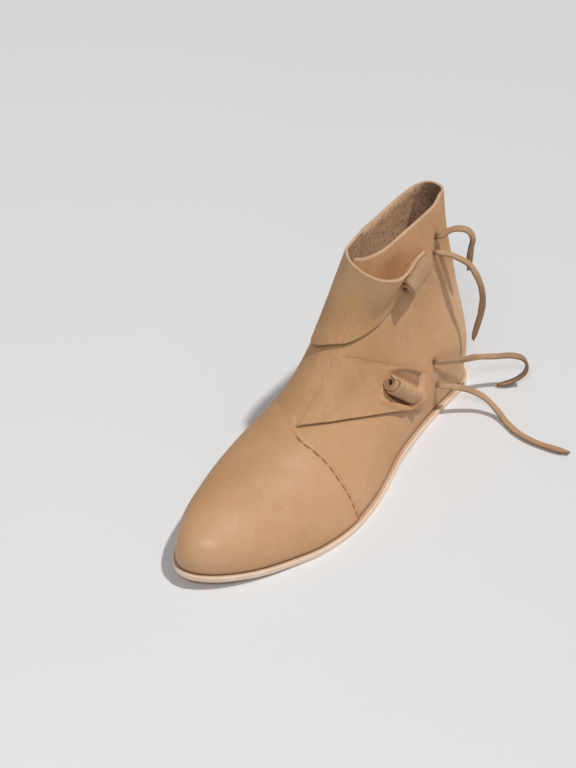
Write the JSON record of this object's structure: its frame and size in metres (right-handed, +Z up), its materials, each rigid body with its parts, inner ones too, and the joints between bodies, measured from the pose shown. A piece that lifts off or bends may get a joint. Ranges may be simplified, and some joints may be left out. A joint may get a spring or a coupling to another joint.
{
  "type": "toggle boot",
  "caption": "Low ankle boot of natural leather with two wrap-over flaps, rolled toggles with thong tails on the lateral side, and a flat nailed leather sole.",
  "frame": {"origin": "middle of the boot's box without its thong tails, on the floor", "axes": "+Z up; -Y towards the toe; +X towards the lateral side, where the toggles are"},
  "size_m": [0.1651, 0.2951, 0.148],
  "materials": {
    "upper_leather": "natural vegetable-tanned grain, satin",
    "thong_leather": "pale flesh-side leather, matte",
    "sole_leather": "pale sole leather, matte",
    "insole_leather": "undyed flesh side, matte",
    "nail_iron": "dark iron heads"
  },
  "bodies": {
    "root": {"outsole": "sole_leather", "insole": "insole_leather", "upper": "upper_leather", "instep_flap": "upper_leather", "ankle_flap": "upper_leather", "instep_toggle": "thong_leather", "ankle_toggle": "thong_leather", "ankle_thong_upper": "thong_leather", "ankle_thong_lower": "thong_leather", "instep_thong_upper": "thong_leather", "instep_thong_lower": "thong_leather", "nail_01": "nail_iron", "nail_02": "nail_iron", "nail_03": "nail_iron", "nail_04": "nail_iron", "nail_05": "nail_iron", "nail_06": "nail_iron", "nail_07": "nail_iron", "nail_08": "nail_iron", "nail_09": "nail_iron", "nail_10": "nail_iron", "nail_11": "nail_iron", "nail_12": "nail_iron", "nail_13": "nail_iron", "nail_14": "nail_iron", "nail_15": "nail_iron", "nail_16": "nail_iron", "nail_17": "nail_iron", "nail_18": "nail_iron", "nail_19": "nail_iron", "nail_20": "nail_iron", "nail_21": "nail_iron", "nail_22": "nail_iron", "nail_23": "nail_iron", "nail_24": "nail_iron", "nail_25": "nail_iron", "nail_26": "nail_iron", "nail_27": "nail_iron", "nail_28": "nail_iron", "nail_29": "nail_iron", "nail_30": "nail_iron", "nail_31": "nail_iron", "nail_32": "nail_iron", "nail_33": "nail_iron", "nail_34": "nail_iron"}
  },
  "joints": []
}
